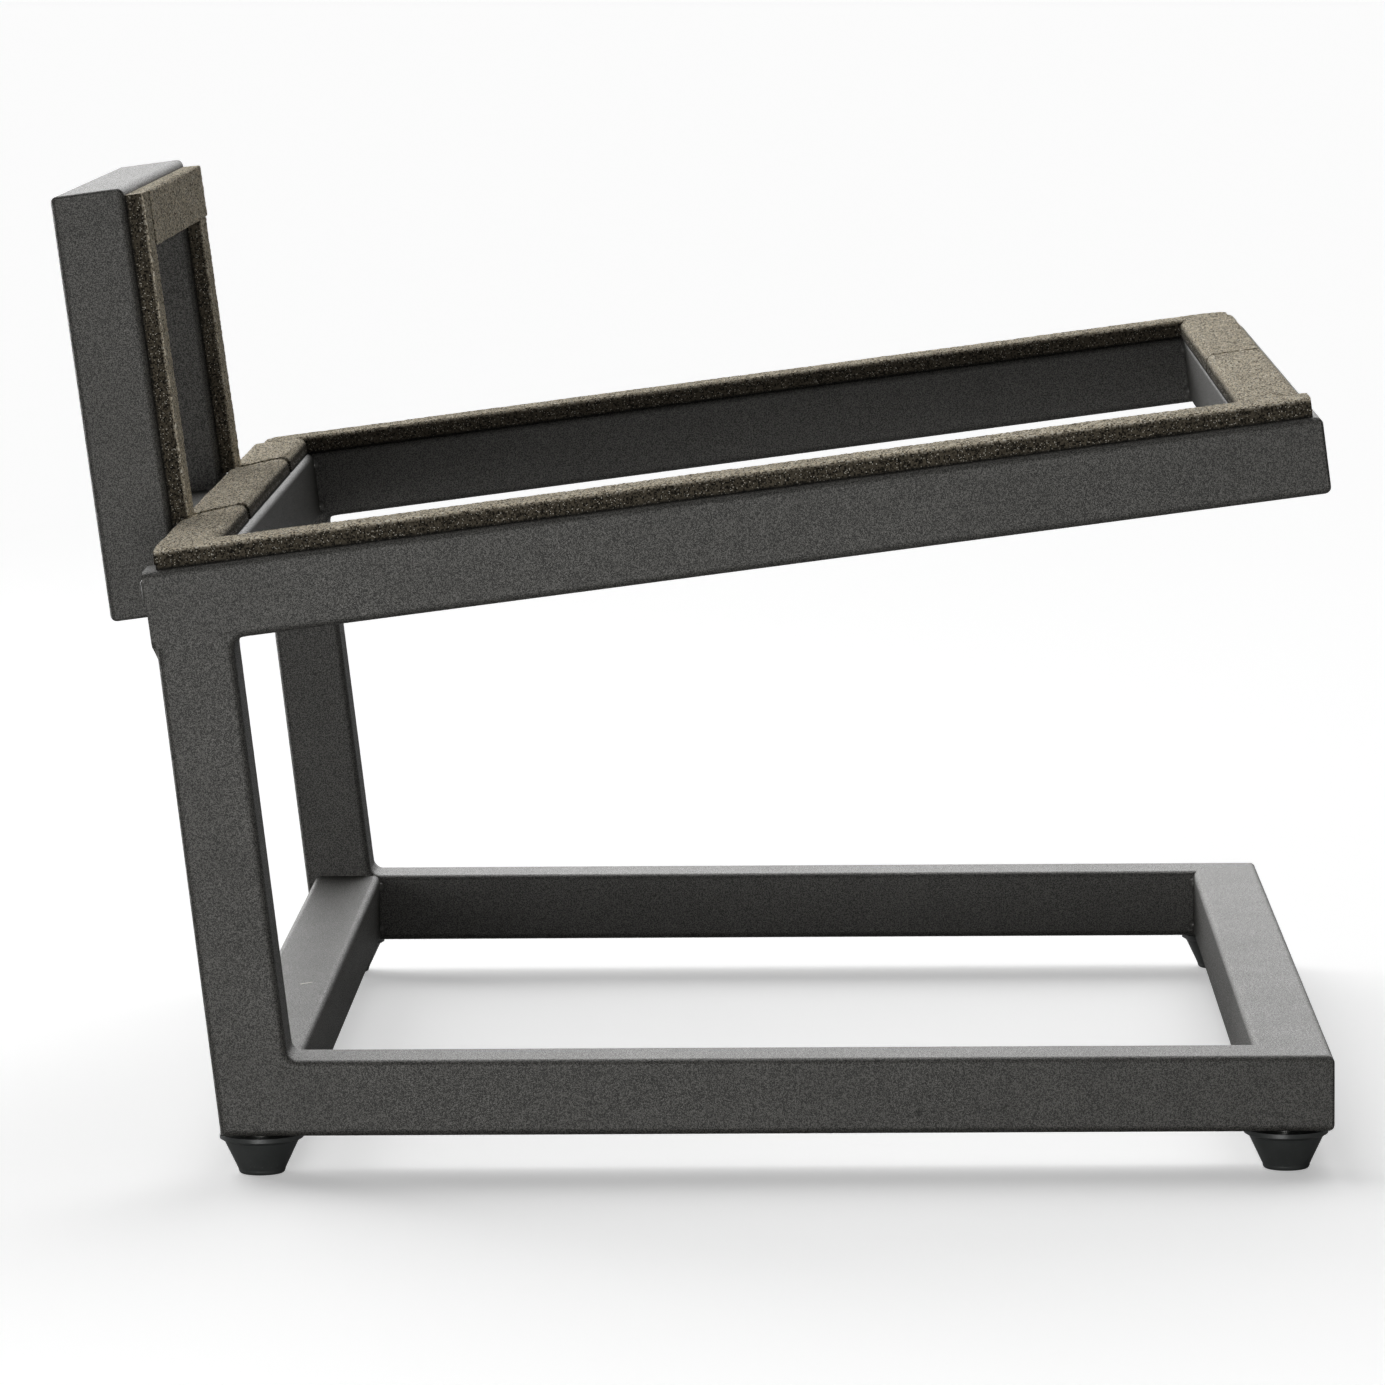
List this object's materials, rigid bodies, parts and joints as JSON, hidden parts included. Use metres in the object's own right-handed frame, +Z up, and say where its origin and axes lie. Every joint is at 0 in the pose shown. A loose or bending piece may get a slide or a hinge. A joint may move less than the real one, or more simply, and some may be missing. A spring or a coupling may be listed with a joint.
{
  "type": "speaker stand",
  "caption": "Low tilt-back floor stand for a bookshelf speaker: C-shaped square-tube side frames carry a sloping, foam-taped open platform and a short backrest, on rubber feet.",
  "frame": {"origin": "on the floor under the middle of the stand's bounding box", "axes": "+X is the stand's front, where the platform is highest; +Y is its left; +Z is up"},
  "size_m": [0.3398, 0.362, 0.2539],
  "materials": {
    "frame_paint": "satin dark warm grey powder coat with a fine texture",
    "weld_paint": "the same powder coat over rounded weld metal",
    "foam_tape": "taupe open-cell foam, matte, with darker cut sides",
    "foot_rubber": "smooth black moulded rubber, semi-gloss",
    "zinc_plate": "zinc-plated steel"
  },
  "bodies": {
    "root": {"base_rail_left": "frame_paint", "base_rail_right": "frame_paint", "base_front_rail": "frame_paint", "base_rear_rail": "frame_paint", "upright_left": "frame_paint", "upright_right": "frame_paint", "platform_rail_left": "frame_paint", "platform_rail_right": "frame_paint", "platform_front_rail": "frame_paint", "platform_rear_rail": "frame_paint", "platform_end_plate_left": "frame_paint", "platform_end_plate_right": "frame_paint", "backrest_post_left": "frame_paint", "backrest_post_right": "frame_paint", "backrest_top_rail": "frame_paint", "backrest_bottom_rail": "frame_paint", "upright_welds_left": "weld_paint", "upright_welds_right": "weld_paint", "rear_end_beads": "weld_paint", "base_corner_tacks": "weld_paint", "platform_corner_tacks": "weld_paint", "backrest_corner_tacks": "weld_paint", "backrest_stitches": "weld_paint", "seat_foam_left": "foam_tape", "seat_foam_right": "foam_tape", "seat_foam_front_left": "foam_tape", "seat_foam_front_right": "foam_tape", "seat_foam_rear_left": "foam_tape", "seat_foam_rear_middle": "foam_tape", "seat_foam_rear_right": "foam_tape", "back_foam_left": "foam_tape", "back_foam_right": "foam_tape", "back_foam_top": "foam_tape", "foot_front_left": "foot_rubber", "foot_front_right": "foot_rubber", "foot_rear_left": "foot_rubber", "foot_rear_right": "foot_rubber", "foot_inserts": "zinc_plate", "foot_washers": "zinc_plate", "foot_screws": "zinc_plate"}
  },
  "joints": []
}
